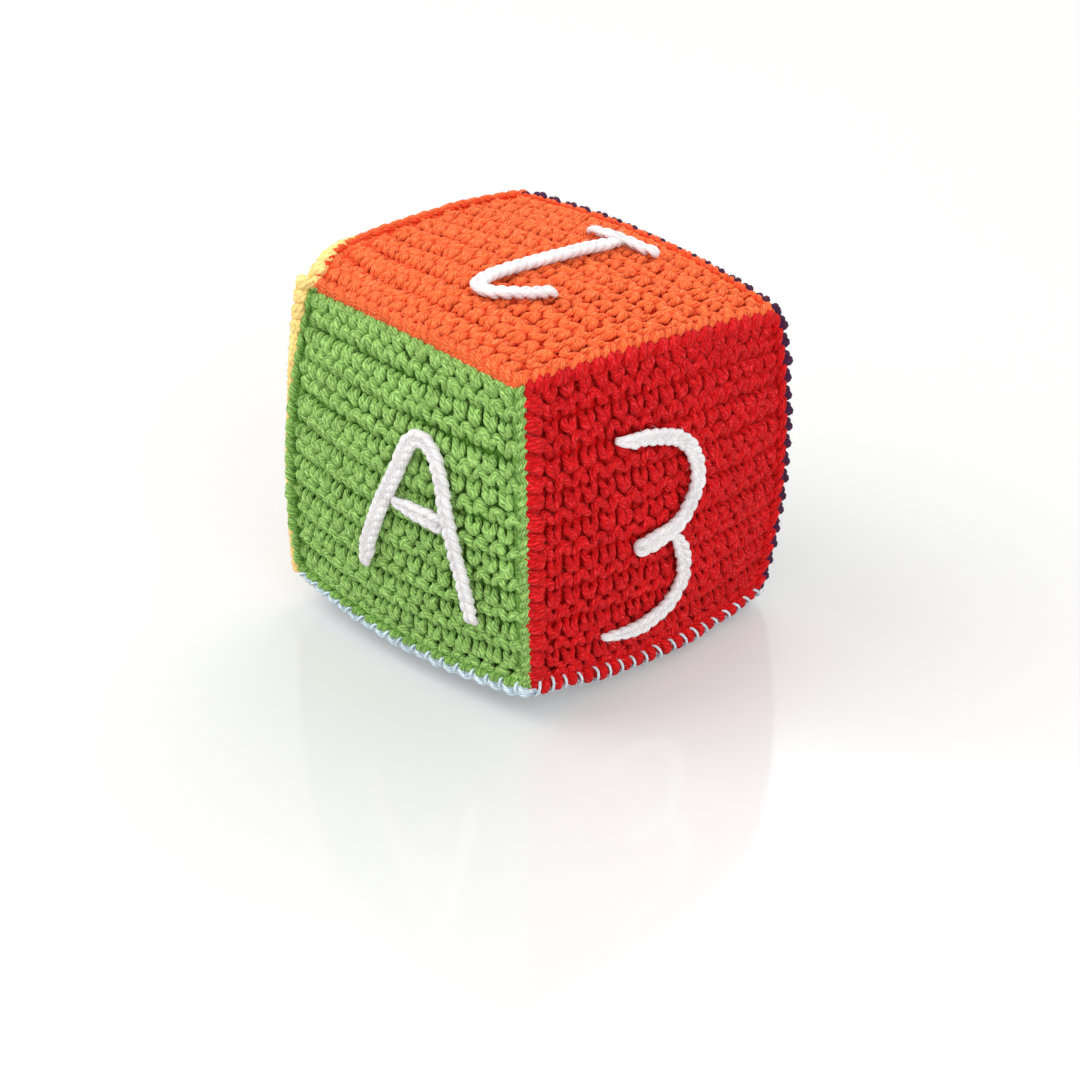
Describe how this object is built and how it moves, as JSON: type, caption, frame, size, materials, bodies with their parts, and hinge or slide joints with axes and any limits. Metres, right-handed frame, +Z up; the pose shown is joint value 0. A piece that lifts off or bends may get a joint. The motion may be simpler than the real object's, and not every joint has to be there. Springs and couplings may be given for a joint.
{
  "type": "soft fabric block",
  "caption": "Soft stuffed toy block: crocheted square panels in plain colours, whip-stitched at every edge, with white chain-cord letters and numbers.",
  "frame": {"origin": "on the flat of the light blue underside, below the middle of the block", "axes": "+Z up through the orange panel; +X out through the red panel; -Y out through the green panel"},
  "size_m": [0.1105, 0.1104, 0.1063],
  "materials": {
    "yarn_green": "matt crocheted cotton yarn, leaf green",
    "yarn_red": "matt crocheted cotton yarn, bright red",
    "yarn_orange": "matt crocheted cotton yarn, orange",
    "yarn_yellow": "matt crocheted cotton yarn, pale yellow",
    "yarn_purple": "matt crocheted cotton yarn, dark purple",
    "yarn_blue": "matt crocheted cotton yarn, light blue",
    "yarn_white": "matt crocheted cotton chain cord, white",
    "fibre": "polyester fibre filling, white"
  },
  "bodies": {
    "root": {"panel_green": "yarn_green", "panel_red": "yarn_red", "panel_orange": "yarn_orange", "panel_yellow": "yarn_yellow", "panel_purple": "yarn_purple", "panel_blue": "yarn_blue", "filling": "fibre", "seam_green_orange": "yarn_orange", "seam_red_orange": "yarn_orange", "seam_purple_orange": "yarn_purple", "seam_yellow_orange": "yarn_orange", "seam_green_red": "yarn_green", "seam_red_purple": "yarn_purple", "seam_purple_yellow": "yarn_yellow", "seam_yellow_green": "yarn_yellow", "seam_green_blue": "yarn_blue", "seam_red_blue": "yarn_red", "seam_purple_blue": "yarn_purple", "seam_yellow_blue": "yarn_yellow", "cord_a_legs": "yarn_white", "cord_a_bar": "yarn_white", "cord_1_base": "yarn_white", "cord_1_stem": "yarn_white", "cord_3_upper": "yarn_white", "cord_3_lower": "yarn_white", "cord_b_spine": "yarn_white", "cord_b_upper": "yarn_white", "cord_b_lower": "yarn_white", "cord_2_base": "yarn_white", "cord_2_hook": "yarn_white"}
  },
  "joints": []
}
